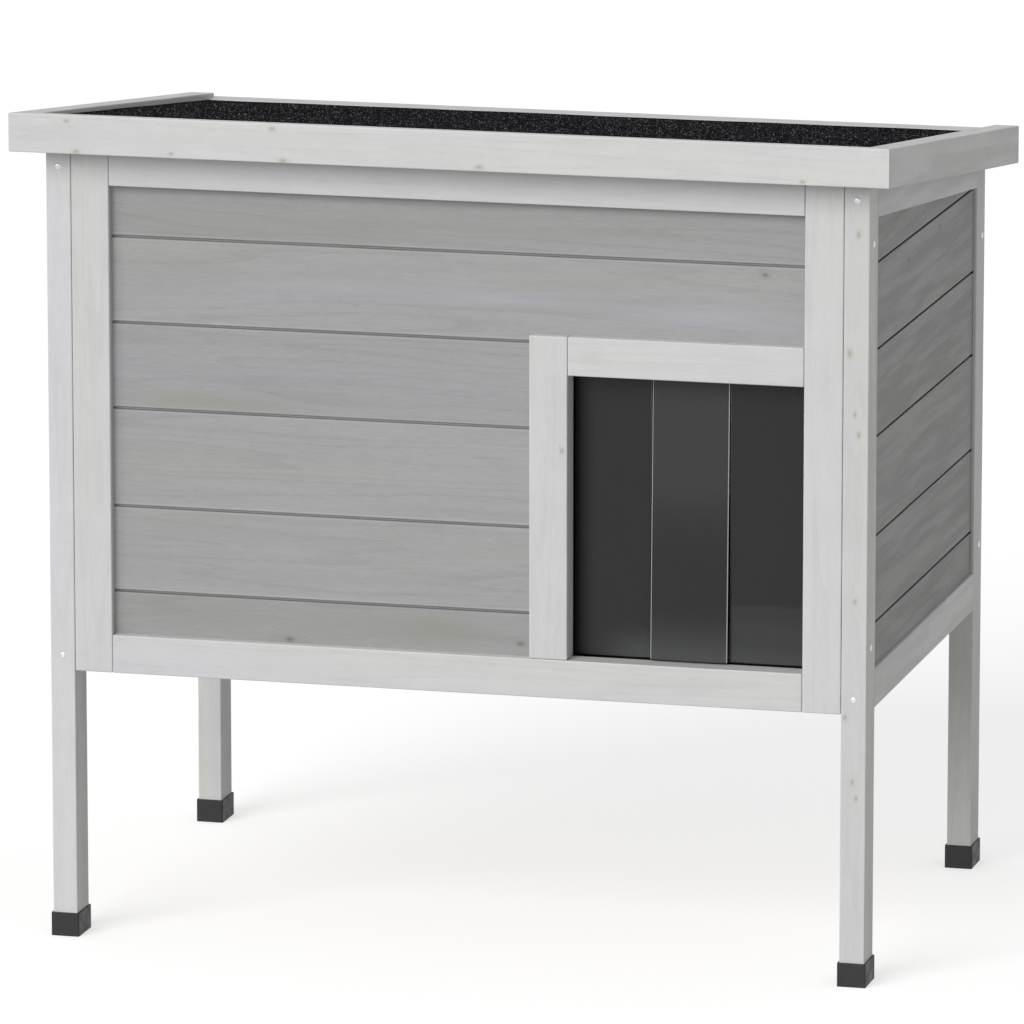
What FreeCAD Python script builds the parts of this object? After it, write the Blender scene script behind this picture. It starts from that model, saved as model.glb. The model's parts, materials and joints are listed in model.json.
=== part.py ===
import FreeCAD, Part
import math
import os
from FreeCAD import Vector

# An outdoor shelter for cats: a boarded timber house on four legs, with a lid that is its roof
# and a doorway closed by three hanging strips. Sizes are in millimetres. The origin is on the
# ground under the middle of the roof, the door faces -Y and +Z is up.

# Timber and the house that is framed with it
house_width = 724.0            # over the legs, from side to side
house_depth = 474.0            # over the legs, from front to rear
timber_thin = 22.0             # narrow side of the one timber section
timber_wide = 33.5             # wide side of the same section
edge_round = 1.2               # rounding along the timbers' edges
frame_bottom = 237.5           # underside of the bottom rails above the ground
head_rail_width = 45.0         # front and rear top rails, at their outer faces
side_head_front = 44.8         # side top rails at their front ends
side_head_rear = 37.8          # side top rails at their rear ends
panel_gap = 0.4                # between the front or rear panel and the legs
seat_gap = 0.3                 # between timbers that butt or lie on each other

# Doorway
door_width = 206.0
door_height = 247.5

# Tongue and groove boarding
board_thickness = 9.0
lowest_board = 37.8            # height that shows of the lowest board
board_pitch = 75.0
wide_board_pitch = 86.0
wide_board_number = 3          # the one wide board, counted from the bottom
least_board = 12.0             # a narrower top board is not started
face_gap = 2.0                 # open joint between two boards at their faces
face_chamfer = 0.6
tongue_thickness = 3.0
tongue_reach = 3.0             # beyond the middle of the joint
tongue_end_gap = 0.4
board_clearance = 0.15         # each side of a tongue, and of a board in its groove
groove_depth = 6.0             # of the grooves in the frames
front_recess = 10.0            # board faces behind the front and rear faces of the frames
side_recess = 3.2              # board faces behind the outer faces of the side frames

# Foot caps
cap_height = 21.0
cap_wall = 1.5
cap_floor = 2.0
cap_clearance = 0.1
cap_corner_round = 1.4
cap_rim_round = 0.5

# Floor
floor_thickness = 9.0
floor_below_sill = 9.0         # floor's top under the bottom rails' tops
floor_edge_gap = 0.5
ledger_size = 15.0
ledger_end_gap = 2.0

# Roof lid
roof_height = 730.0            # highest edge, at the front
roof_pitch = 6.7               # fall to the rear, in degrees
front_space = 9.5              # between the house and the front edge board
rear_space = 13.0              # between the house and the rear edge board
lid_gap = 1.0                  # between the house and the side edge boards
felt_drop = 5.3                # felt's top under the edge boards' tops
felt_thickness = 2.0
deck_thickness = 9.0
lid_fit = 0.2                  # around the deck, between the edge boards
felt_fit = 0.6                 # around the felt
rear_board_height = 28.0
batten_width = 22.0
batten_height = 15.0
batten_inset = 240.0           # of each batten's middle from the house's side
batten_front_gap = 2.0         # behind the front panel
batten_rear_gap = 12.0         # in front of the rear panel

# Roof hinges
hinge_inset = 120.0            # of each hinge's middle from the house's side
hinge_width = 40.0
leaf_thickness = 1.2
wall_leaf_length = 22.0        # from the pin downwards
lid_leaf_length = 28.0         # from the pin to the rear
knuckle_count = 5
knuckle_radius = 2.8
knuckle_gap = 0.3
knuckle_clearance = 0.2        # from the wall and from the rear edge board
pin_radius = 1.4
pin_clearance = 0.05
pin_head_radius = 2.3
pin_head_length = 0.8
pin_end_gap = 0.1

# Door strips
strip_count = 3
strip_thickness = 2.0
strip_edge_gap = 1.2           # beside the outer strips
strip_gap = 1.0                # between two strips
strip_sill_gap = 1.6           # under the strips
strip_axis_drop = 2.0          # bending line under the header
strip_lean = 1.5               # the middle strip hangs outwards by this angle
strip_round = 0.4
tab_gap = 0.3                  # between a strip and its clamped end
tab_height = 28.2
clamp_thickness = 12.0
clamp_height = 25.0
clamp_fit = 0.1

# Countersunk screws
screw_head_radius = 2.5
screw_shank_radius = 1.6
screw_clearance = 0.1
screw_point = 4.0
small_head_radius = 2.4
small_shank_radius = 1.3
recess_width = 0.8
recess_share = 0.62            # cross recess over the head's diameter
recess_depth_share = 0.55      # cross recess over the countersink's depth
leg_screw_length = 48.0        # through a leg's wide side
stile_screw_length = 42.0      # through a leg's narrow side
head_screw_rise = 19.1         # above the lower edge of the side top rail
low_screw_rise = 13.0          # above the underside of the bottom rail
sill_screw_rise = 22.3         # above the top of the bottom rail
front_screw_drop = 24.0        # under the front top rail
rear_screw_drop = 35.0         # under the rear top rail
front_screw_inset = 17.0       # behind the front face
rear_screw_inset = 11.0        # in front of the rear face
clamp_screw_length = 26.0
clamp_screw_spacing = 40.0
ledger_screw_length = 28.0
ledger_screw_count = 3
ledger_screw_margin = 60.0
batten_screw_length = 21.0
batten_screw_count = 3
batten_screw_margin = 40.0
hinge_screw_length = 14.0
hinge_screw_spacing = 26.0

# Places that follow from the sizes
roof_fall = math.tan(math.radians(roof_pitch))
plumb = 1.0 / math.cos(math.radians(roof_pitch))
roof_width = house_width + 2 * (lid_gap + timber_thin)
roof_depth = house_depth + front_space + rear_space + 2 * timber_thin
front_y = timber_thin + front_space - roof_depth / 2
rear_y = front_y + house_depth
half_width = house_width / 2
panel_half = half_width - timber_thin - panel_gap
stile_inner = panel_half - timber_wide
post_right = stile_inner - door_width
post_left = post_right - timber_wide
sill_top = frame_bottom + timber_wide
header_bottom = sill_top + door_height
header_top = header_bottom + timber_wide
lid_half = half_width + lid_gap
hinge_x = half_width - hinge_inset
batten_x = half_width - batten_inset
roof_front = -roof_depth / 2
roof_rear = roof_depth / 2
deck_front = roof_front + timber_thin
deck_rear = roof_rear - timber_thin


def roof_top(y):
    """Height of the plane of the edge boards' tops."""
    return roof_height - (y - roof_front) * roof_fall


def felt_top(y):
    return roof_top(y) - felt_drop


def deck_top(y):
    return felt_top(y) - felt_thickness * plumb


def deck_under(y):
    return deck_top(y) - deck_thickness * plumb


def frame_top(y):
    """Height of the house's frame, just under the deck."""
    return deck_under(y) - seat_gap


front_head_bottom = frame_top(front_y) - head_rail_width
rear_head_bottom = frame_top(rear_y) - head_rail_width
side_front = front_y + timber_wide
side_rear = rear_y - timber_wide
side_low_front = frame_top(side_front) - side_head_front
side_low_rear = frame_top(side_rear) - side_head_rear
rear_board_top = felt_top(deck_rear)
rear_board_bottom = rear_board_top - rear_board_height
hinge_y = rear_y + knuckle_radius + knuckle_clearance
hinge_z = rear_board_bottom - knuckle_radius - knuckle_clearance
strip_y = front_y + timber_thin + clamp_fit + strip_thickness / 2
strip_z = header_bottom - strip_axis_drop
strip_width = (door_width - 2 * strip_edge_gap - (strip_count - 1) * strip_gap) / strip_count
tab_bottom = strip_z + strip_thickness / 2 + tab_gap
tab_top = tab_bottom + tab_height
clamp_front = front_y + timber_thin + strip_thickness + 2 * clamp_fit
clamp_rear = clamp_front + clamp_thickness
floor_top = sill_top - floor_below_sill
floor_bottom = floor_top - floor_thickness
ledger_top = floor_bottom


def box(x_ends, y_ends, z_ends):
    """Box between pairs of limits, given in either order."""
    x0, x1 = sorted(x_ends)
    y0, y1 = sorted(y_ends)
    z0, z1 = sorted(z_ends)
    return Part.makeBox(x1 - x0, y1 - y0, z1 - z0, Vector(x0, y0, z0))


def prism(corners, sweep):
    """Solid between a flat outline and the same outline moved by sweep."""
    outline = Part.makePolygon(corners + corners[:1])
    return Part.Face(outline).extrude(sweep)


def side_prism(outline, x_ends):
    """Outline of (y, z) points carried between two x values."""
    x0, x1 = sorted(x_ends)
    corners = [Vector(x0, y, z) for y, z in outline]
    return prism(corners, Vector(x1 - x0, 0, 0))


def rounded(shape, radius=edge_round):
    return shape.makeFillet(radius, shape.Edges)


def touches(first, second):
    return first.BoundBox.intersect(second.BoundBox)


def cut_where_touching(shape, cutters):
    for cutter in cutters:
        if touches(shape, cutter):
            shape = shape.cut(cutter)
    return shape


# Screws: each place is the middle of the head's face and the way that the screw points

def screw_profile(length, head, shank, lift):
    """Half outline of a countersunk screw along +Z, its face raised by lift over the surface."""
    sink = head - shank
    return [
        Vector(0, 0, -lift),
        Vector(head, 0, -lift),
        Vector(head, 0, 0),
        Vector(shank, 0, sink),
        Vector(shank, 0, length - screw_point),
        Vector(0, 0, length),
    ]


def turned(profile):
    outline = Part.makePolygon(profile + profile[:1])
    return Part.Face(outline).revolve(Vector(0, 0, 0), Vector(0, 0, 1), 360)


def placed(shape, place):
    middle, direction = place
    turn = FreeCAD.Rotation(Vector(0, 0, 1), direction)
    moved = shape.copy()
    moved.Placement = FreeCAD.Placement(middle, turn)
    return moved


def screws(places, length, head=screw_head_radius, shank=screw_shank_radius):
    """Group of equal screws with a cross recess."""
    face_lift = screw_clearance
    body = turned(screw_profile(length, head, shank, face_lift))
    reach = head * recess_share
    half = recess_width / 2
    recess_ends = (-face_lift, (head - shank) * recess_depth_share)
    body = body.cut(box((-reach, reach), (-half, half), recess_ends))
    body = body.cut(box((-half, half), (-reach, reach), recess_ends))
    return Part.makeCompound([placed(body, place) for place in places])


def screw_holes(places, length, head=screw_head_radius, shank=screw_shank_radius):
    """Cutters that leave the clearance around each screw and open to the surface."""
    gap = screw_clearance
    sink = head - shank
    profile = [
        Vector(0, 0, -head),
        Vector(head + gap, 0, -head),
        Vector(head + gap, 0, gap),
        Vector(shank + gap, 0, sink + gap),
        Vector(shank + gap, 0, length + gap),
        Vector(0, 0, length + gap),
    ]
    hole = turned(profile)
    return [placed(hole, place) for place in places]


def leg_screw_places():
    """Screws along Y, through the legs into the ends of the side rails."""
    middle = half_width - timber_thin / 2
    low = frame_bottom + low_screw_rise
    places = []
    for side in (-1, 1):
        for height in (low, side_low_front + head_screw_rise):
            places.append((Vector(side * middle, front_y, height), Vector(0, 1, 0)))
        for height in (low, side_low_rear + head_screw_rise):
            places.append((Vector(side * middle, rear_y, height), Vector(0, -1, 0)))
    return places


def stile_screw_places():
    """Screws along X, through the legs into the stiles of the front and rear panels."""
    low = sill_top + sill_screw_rise
    places = []
    for side in (-1, 1):
        inwards = Vector(-side, 0, 0)
        for height in (low, front_head_bottom - front_screw_drop):
            at = Vector(side * half_width, front_y + front_screw_inset, height)
            places.append((at, inwards))
        for height in (low, rear_head_bottom - rear_screw_drop):
            at = Vector(side * half_width, rear_y - rear_screw_inset, height)
            places.append((at, inwards))
    return places


def strip_middle(number):
    """X of the middle of a strip, counted from the left."""
    first = post_right + strip_edge_gap + strip_width / 2
    return first + number * (strip_width + strip_gap)


def clamp_screw_places():
    height = (tab_top + tab_top - clamp_height) / 2
    places = []
    for number in range(strip_count):
        for side in (-0.5, 0.5):
            x = strip_middle(number) + side * clamp_screw_spacing
            places.append((Vector(x, clamp_rear, height), Vector(0, -1, 0)))
    return places


def spread(first, last, count):
    """Evenly spaced values from first to last."""
    step = (last - first) / (count - 1)
    return [first + step * number for number in range(count)]


def ledger_screw_places():
    height = ledger_top - ledger_size / 2
    inset = timber_thin + seat_gap + ledger_size
    last = half_width - timber_thin - ledger_screw_margin
    places = []
    for x in spread(-last, last, ledger_screw_count):
        places.append((Vector(x, front_y + inset, height), Vector(0, -1, 0)))
        places.append((Vector(x, rear_y - inset, height), Vector(0, 1, 0)))
    return places


batten_front = front_y + timber_thin + batten_front_gap
batten_rear = rear_y - timber_thin - batten_rear_gap


def batten_screw_places():
    """Screws up through the battens, square to the deck."""
    upwards = Vector(0, math.sin(math.radians(roof_pitch)), math.cos(math.radians(roof_pitch)))
    places = []
    for side in (-1, 1):
        for y in spread(batten_front + batten_screw_margin, batten_rear - batten_screw_margin,
                        batten_screw_count):
            z = deck_under(y) - batten_height * plumb
            places.append((Vector(side * batten_x, y, z), upwards))
    return places


def hinge_screw_xs():
    half = hinge_screw_spacing / 2
    return [side * hinge_x + shift for side in (-1, 1) for shift in (-half, half)]


def wall_leaf_screw_places():
    y = rear_y + leaf_thickness + screw_clearance
    z = hinge_z - (wall_leaf_length + knuckle_radius + knuckle_gap) / 2
    return [(Vector(x, y, z), Vector(0, -1, 0)) for x in hinge_screw_xs()]


def lid_leaf_screw_places():
    y = deck_rear + timber_thin / 2
    z = rear_board_bottom - leaf_thickness - screw_clearance
    return [(Vector(x, y, z), Vector(0, 0, 1)) for x in hinge_screw_xs()]


leg_holes = screw_holes(leg_screw_places(), leg_screw_length)
stile_holes = screw_holes(stile_screw_places(), stile_screw_length)
frame_holes = leg_holes + stile_holes
clamp_holes = screw_holes(clamp_screw_places(), clamp_screw_length)
ledger_holes = screw_holes(ledger_screw_places(), ledger_screw_length)
batten_holes = screw_holes(batten_screw_places(), batten_screw_length)
wall_leaf_holes = screw_holes(wall_leaf_screw_places(), hinge_screw_length,
                              small_head_radius, small_shank_radius)
lid_leaf_holes = screw_holes(lid_leaf_screw_places(), hinge_screw_length,
                             small_head_radius, small_shank_radius)


# Boarding: a wall is the axis that it runs along, its board faces' place and the way inside

front_wall = {"runs": "x", "face": front_y + front_recess, "inwards": 1}
rear_wall = {"runs": "x", "face": rear_y - front_recess, "inwards": -1}
left_wall = {"runs": "y", "face": -half_width + side_recess, "inwards": 1}
right_wall = {"runs": "y", "face": half_width - side_recess, "inwards": -1}


def wall_point(wall, along, depth, height):
    across = wall["face"] + wall["inwards"] * depth
    if wall["runs"] == "x":
        return Vector(along, across, height)
    return Vector(across, along, height)


def front_outline(margin):
    """Front boarding as it shows, grown by margin: it goes round the door post and header."""
    return [
        (-stile_inner - margin, sill_top - margin),
        (post_left + margin, sill_top - margin),
        (post_left + margin, header_top - margin),
        (stile_inner + margin, header_top - margin),
        (stile_inner + margin, front_head_bottom + margin),
        (-stile_inner - margin, front_head_bottom + margin),
    ]


def rear_outline(margin):
    return [
        (-stile_inner - margin, sill_top - margin),
        (stile_inner + margin, sill_top - margin),
        (stile_inner + margin, rear_head_bottom + margin),
        (-stile_inner - margin, rear_head_bottom + margin),
    ]


def side_outline(margin):
    """Side boarding: its top follows the lower edge of the side's top rail."""
    slope = (side_low_rear - side_low_front) / (side_rear - side_front)
    return [
        (side_front - margin, sill_top - margin),
        (side_rear + margin, sill_top - margin),
        (side_rear + margin, side_low_rear + margin + slope * margin),
        (side_front - margin, side_low_front + margin - slope * margin),
    ]


def wall_block(wall, outline, depth_start, depth_end):
    corners = [wall_point(wall, along, depth_start, height) for along, height in outline]
    sweep = wall_point(wall, 0, depth_end, 0) - wall_point(wall, 0, depth_start, 0)
    return prism(corners, sweep)


def board_joints(top):
    """Heights of the joints between boards, from the bottom rail up."""
    joints = [sill_top + lowest_board]
    while joints[-1] + board_pitch < top - least_board or len(joints) < wide_board_number:
        is_wide = len(joints) == wide_board_number - 1
        pitch = wide_board_pitch if is_wide else board_pitch
        joints.append(joints[-1] + pitch)
    return joints


def board_section(low, high, grooved, tongued):
    """Section of one board as (depth, height) points, with the joints' middles at its limits."""
    open_low = low + face_gap / 2 if grooved else low
    open_high = high - face_gap / 2 if tongued else high
    back_low = low + board_clearance if grooved else low
    back_high = high - board_clearance if tongued else high
    tongue_front = (board_thickness - tongue_thickness) / 2
    tongue_back = tongue_front + tongue_thickness
    points = [(0, open_low + face_chamfer), (0, open_high - face_chamfer)]
    points.append((face_chamfer, open_high))
    if tongued:
        points.append((tongue_front, open_high))
        points.append((tongue_front, high + tongue_reach))
        points.append((tongue_back, high + tongue_reach))
        points.append((tongue_back, back_high))
    points.append((board_thickness, back_high))
    points.append((board_thickness, back_low))
    if grooved:
        groove_end = low + tongue_reach + tongue_end_gap
        points.append((tongue_back + board_clearance, back_low))
        points.append((tongue_back + board_clearance, groove_end))
        points.append((tongue_front - board_clearance, groove_end))
        points.append((tongue_front - board_clearance, open_low))
    points.append((face_chamfer, open_low))
    return points


def boards(wall, outline):
    """The boards of one wall, from the bottom up, each let into the frame around them."""
    outer = outline(groove_depth - seat_gap)
    alongs = [along for along, height in outer]
    heights = [height for along, height in outer]
    edges = [min(heights)] + board_joints(max(heights) - groove_depth) + [max(heights)]
    field = wall_block(wall, outer, -face_chamfer, board_thickness + face_chamfer)
    solids = []
    for low, high in zip(edges[:-1], edges[1:]):
        start, end = field_ends(wall, field, alongs, low, (low + high) / 2)
        section = board_section(low, high, low > edges[0], high < edges[-1])
        corners = [wall_point(wall, start, depth, height) for depth, height in section]
        sweep = wall_point(wall, end, 0, 0) - wall_point(wall, start, 0, 0)
        solids.append(prism(corners, sweep).common(field))
    return solids


def field_ends(wall, field, alongs, low, high):
    """Limits along the wall of what a field holds between two heights."""
    band = [(min(alongs), low), (max(alongs), low), (max(alongs), high), (min(alongs), high)]
    held = field.common(wall_block(wall, band, 0, board_thickness)).BoundBox
    if wall["runs"] == "x":
        return held.XMin, held.XMax
    return held.YMin, held.YMax


def board_groove(wall, outline):
    """Cutter for the grooves that hold a wall's boards."""
    return wall_block(wall, outline(groove_depth), -board_clearance,
                      board_thickness + board_clearance)


board_grooves = {
    "front": board_groove(front_wall, front_outline),
    "rear": board_groove(rear_wall, rear_outline),
    "left": board_groove(left_wall, side_outline),
    "right": board_groove(right_wall, side_outline),
}
groove_cutters = list(board_grooves.values())


# House frame

def leg(side, y_ends):
    y0, y1 = y_ends
    outline = [(y0, cap_floor), (y1, cap_floor), (y1, frame_top(y1)), (y0, frame_top(y0))]
    x_ends = (side * half_width, side * (half_width - timber_thin))
    timber = rounded(side_prism(outline, x_ends))
    return cut_where_touching(timber, groove_cutters + frame_holes)


def foot_cap(side, y_ends):
    """Push-on cap: a shoe around the leg's end, with rounded outer corners."""
    inner_x = (side * (half_width + cap_clearance),
               side * (half_width - timber_thin - cap_clearance))
    inner_y = (y_ends[0] - cap_clearance, y_ends[1] + cap_clearance)
    x0, x1 = sorted(inner_x)
    outer = box((x0 - cap_wall, x1 + cap_wall),
                (inner_y[0] - cap_wall, inner_y[1] + cap_wall), (0, cap_height))
    uprights = [edge for edge in outer.Edges if edge.BoundBox.ZLength > cap_height / 2]
    outer = outer.makeFillet(cap_corner_round, uprights)
    rims = [edge for edge in outer.Edges if edge.BoundBox.ZLength < cap_rim_round]
    outer = outer.makeFillet(cap_rim_round, rims)
    return outer.cut(box(inner_x, inner_y, (cap_floor, cap_height + cap_rim_round)))


def stile(side, y_ends):
    y0, y1 = y_ends
    outline = [(y0, frame_bottom), (y1, frame_bottom), (y1, frame_top(y1)), (y0, frame_top(y0))]
    timber = rounded(side_prism(outline, (side * stile_inner, side * panel_half)))
    return cut_where_touching(timber, groove_cutters + frame_holes)


def head_rail(low, y_ends):
    """Top rail of the front or rear panel, its top bevelled to the roof."""
    y0, y1 = y_ends
    outline = [(y0, low), (y1, low), (y1, frame_top(y1)), (y0, frame_top(y0))]
    reach = stile_inner - seat_gap
    timber = rounded(side_prism(outline, (-reach, reach)))
    return cut_where_touching(timber, groove_cutters + wall_leaf_holes)


def bottom_rail(y_ends):
    reach = stile_inner - seat_gap
    timber = rounded(box((-reach, reach), y_ends, (frame_bottom, sill_top)))
    return cut_where_touching(timber, groove_cutters + ledger_holes)


def door_post():
    y_ends = (front_y, front_y + timber_thin)
    timber = rounded(box((post_left, post_right), y_ends, (sill_top + seat_gap, header_top)))
    return cut_where_touching(timber, groove_cutters)


def door_header():
    x_ends = (post_right + seat_gap, stile_inner - seat_gap)
    y_ends = (front_y, front_y + timber_thin)
    timber = rounded(box(x_ends, y_ends, (header_bottom, header_top)))
    return cut_where_touching(timber, groove_cutters + clamp_holes)


def side_rail(side, low_front, low_rear, top_front, top_rear):
    y0 = side_front + seat_gap
    y1 = side_rear - seat_gap
    outline = [(y0, low_front), (y1, low_rear), (y1, top_rear), (y0, top_front)]
    x_ends = (side * half_width, side * (half_width - timber_thin))
    timber = rounded(side_prism(outline, x_ends))
    return cut_where_touching(timber, groove_cutters + frame_holes)


def side_head_rail(side):
    return side_rail(side, side_low_front, side_low_rear,
                     frame_top(side_front), frame_top(side_rear))


def side_bottom_rail(side):
    return side_rail(side, frame_bottom, frame_bottom, sill_top, sill_top)


def floor_panel():
    half = half_width - timber_thin - floor_edge_gap
    y_ends = (front_y + timber_thin + floor_edge_gap, rear_y - timber_thin - floor_edge_gap)
    return box((-half, half), y_ends, (floor_bottom, floor_top))


def floor_ledgers():
    """Two battens on the bottom rails, under the front and rear edges of the floor."""
    half = half_width - timber_thin - ledger_end_gap
    near = timber_thin + seat_gap
    far = near + ledger_size
    z_ends = (ledger_top - ledger_size, ledger_top)
    front = rounded(box((-half, half), (front_y + near, front_y + far), z_ends))
    rear = rounded(box((-half, half), (rear_y - far, rear_y - near), z_ends))
    front = cut_where_touching(front, ledger_holes)
    rear = cut_where_touching(rear, ledger_holes)
    return Part.makeCompound([front, rear])


# Door strips and what clamps them behind the header

def strip_x_ends(number):
    middle = strip_middle(number)
    return (middle - strip_width / 2, middle + strip_width / 2)


def strip_tab(number):
    half = strip_thickness / 2
    tab = box(strip_x_ends(number), (strip_y - half, strip_y + half), (tab_bottom, tab_top))
    return cut_where_touching(tab, clamp_holes)


def strip_clamp():
    x_ends = (strip_x_ends(0)[0], strip_x_ends(strip_count - 1)[1])
    batten = rounded(box(x_ends, (clamp_front, clamp_rear), (tab_top - clamp_height, tab_top)))
    return cut_where_touching(batten, clamp_holes)


def door_strip(number):
    """Hanging strip with a round top edge on its bending line."""
    half = strip_thickness / 2
    x0, x1 = strip_x_ends(number)
    sheet = box((x0, x1), (strip_y - half, strip_y + half),
                (sill_top + strip_sill_gap, strip_z))
    low_edges = [edge for edge in sheet.Edges if edge.BoundBox.ZMin < strip_z - half]
    sheet = sheet.makeFillet(strip_round, low_edges)
    bead = Part.makeCylinder(half, x1 - x0, Vector(x0, strip_y, strip_z), Vector(1, 0, 0))
    strip = sheet.fuse(bead).removeSplitter()
    if number == strip_count // 2:
        strip.rotate(Vector(0, strip_y, strip_z), Vector(1, 0, 0), -strip_lean)
    return strip


# Roof lid

def roof_board_outline(y0, y1, height):
    return [(y0, roof_top(y0) - height), (y1, roof_top(y1) - height),
            (y1, roof_top(y1)), (y0, roof_top(y0))]


def mitre_cutter(side, keep_side_board):
    """Block that takes away what lies beyond the mitre of a front corner."""
    corner = Vector(side * roof_width / 2, roof_front, 0)
    root_half = math.sqrt(0.5)
    along = Vector(-side * root_half, root_half, 0)
    outwards = Vector(side * root_half, root_half, 0)
    if keep_side_board:
        outwards = outwards * -1
    reach = 4 * timber_thin
    start = corner - outwards * (seat_gap / 2)
    corners = [start + along * reach, start - along * reach,
               start - along * reach + outwards * reach, start + along * reach + outwards * reach]
    return prism(corners, Vector(0, 0, roof_height + timber_wide))


def side_edge_board(side):
    """Edge board of one side, in the roof's slope, mitred to the front one."""
    start = roof_front - timber_thin
    outline = roof_board_outline(start, roof_rear, timber_wide * plumb)
    timber = rounded(side_prism(outline, (side * lid_half, side * roof_width / 2)))
    return timber.cut(mitre_cutter(side, True))


def front_edge_board():
    """Front edge board: its top and bottom are bevelled to the roof's slope."""
    outline = roof_board_outline(roof_front, deck_front, timber_wide * plumb)
    reach = roof_width / 2 + timber_thin
    timber = rounded(side_prism(outline, (-reach, reach)))
    return timber.cut(mitre_cutter(-1, False)).cut(mitre_cutter(1, False))


def rear_edge_board():
    reach = lid_half - lid_fit
    timber = rounded(box((-reach, reach), (deck_rear, roof_rear),
                         (rear_board_bottom, rear_board_top)))
    return cut_where_touching(timber, lid_leaf_holes)


def roof_deck():
    y0 = deck_front + lid_fit
    y1 = deck_rear - lid_fit
    outline = [(y0, deck_under(y0)), (y1, deck_under(y1)), (y1, deck_top(y1)), (y0, deck_top(y0))]
    reach = lid_half - lid_fit
    return cut_where_touching(side_prism(outline, (-reach, reach)), batten_holes)


def roof_felt():
    y0 = deck_front + felt_fit
    y1 = deck_rear - felt_fit
    outline = [(y0, deck_top(y0)), (y1, deck_top(y1)), (y1, felt_top(y1)), (y0, felt_top(y0))]
    reach = lid_half - felt_fit
    return side_prism(outline, (-reach, reach))


def deck_battens():
    """Two battens that keep the deck flat, seated on its underside."""
    timbers = []
    for side in (-1, 1):
        outline = [(y, deck_under(y)) for y in (batten_rear, batten_front)]
        outline += [(y, deck_under(y) - batten_height * plumb)
                    for y in (batten_front, batten_rear)]
        x = side * batten_x
        timber = rounded(side_prism(outline, (x - batten_width / 2, x + batten_width / 2)))
        timbers.append(cut_where_touching(timber, batten_holes))
    return Part.makeCompound(timbers)


# Roof hinges: the wall leaf hangs down behind the rear rail, the lid leaf lies under the lid

knuckle_length = hinge_width / knuckle_count


def knuckle_x_ends(middle, number):
    start = middle - hinge_width / 2 + number * knuckle_length
    return (start + knuckle_gap / 2, start + knuckle_length - knuckle_gap / 2)


def hinge_leaf(middle, first_knuckle, knuckle_tab, plate):
    """Plate with every second knuckle of the barrel, each joined to it by a tab."""
    leaf = plate
    bores = []
    for number in range(first_knuckle, knuckle_count, 2):
        x0, x1 = knuckle_x_ends(middle, number)
        start = Vector(x0, hinge_y, hinge_z)
        barrel = Part.makeCylinder(knuckle_radius, x1 - x0, start, Vector(1, 0, 0))
        leaf = leaf.fuse(knuckle_tab(x0, x1)).fuse(barrel)
        bores.append(Part.makeCylinder(pin_radius + pin_clearance, x1 - x0, start,
                                       Vector(1, 0, 0)))
    leaf = leaf.removeSplitter()
    for bore in bores:
        leaf = leaf.cut(bore)
    return leaf


def hinge_wall_leaf(side):
    middle = side * hinge_x
    half = hinge_width / 2
    y_ends = (rear_y + screw_clearance, rear_y + screw_clearance + leaf_thickness)
    plate_top = hinge_z - knuckle_radius - knuckle_gap
    plate = box((middle - half, middle + half), y_ends, (hinge_z - wall_leaf_length, plate_top))
    leaf = hinge_leaf(middle, 0, lambda x0, x1: box((x0, x1), y_ends, (plate_top, hinge_z)),
                      plate)
    return cut_where_touching(leaf, wall_leaf_holes)


def hinge_lid_leaf(side):
    middle = side * hinge_x
    half = hinge_width / 2
    top = rear_board_bottom - screw_clearance
    z_ends = (top - leaf_thickness, top)
    plate_front = hinge_y + knuckle_radius + knuckle_gap
    plate = box((middle - half, middle + half), (plate_front, hinge_y + lid_leaf_length), z_ends)
    leaf = hinge_leaf(middle, 1, lambda x0, x1: box((x0, x1), (hinge_y, plate_front), z_ends),
                      plate)
    return cut_where_touching(leaf, lid_leaf_holes)


def hinge_pin(side):
    """Pin with a flat head at each end of the barrel."""
    reach = hinge_width / 2 + pin_end_gap
    start = Vector(side * hinge_x - reach, hinge_y, hinge_z)
    end = Vector(side * hinge_x + reach, hinge_y, hinge_z)
    pin = Part.makeCylinder(pin_radius, 2 * reach, start, Vector(1, 0, 0))
    first = Part.makeCylinder(pin_head_radius, pin_head_length, start, Vector(-1, 0, 0))
    last = Part.makeCylinder(pin_head_radius, pin_head_length, end, Vector(1, 0, 0))
    return pin.fuse(first).fuse(last)


# All pieces by name

sides = (("left", -1), ("right", 1))
leg_depths = (
    ("front", (front_y, side_front)),
    ("rear", (side_rear, rear_y)),
)
panel_depths = (
    ("front", (front_y, front_y + timber_thin)),
    ("rear", (rear_y - timber_thin, rear_y)),
)


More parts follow.
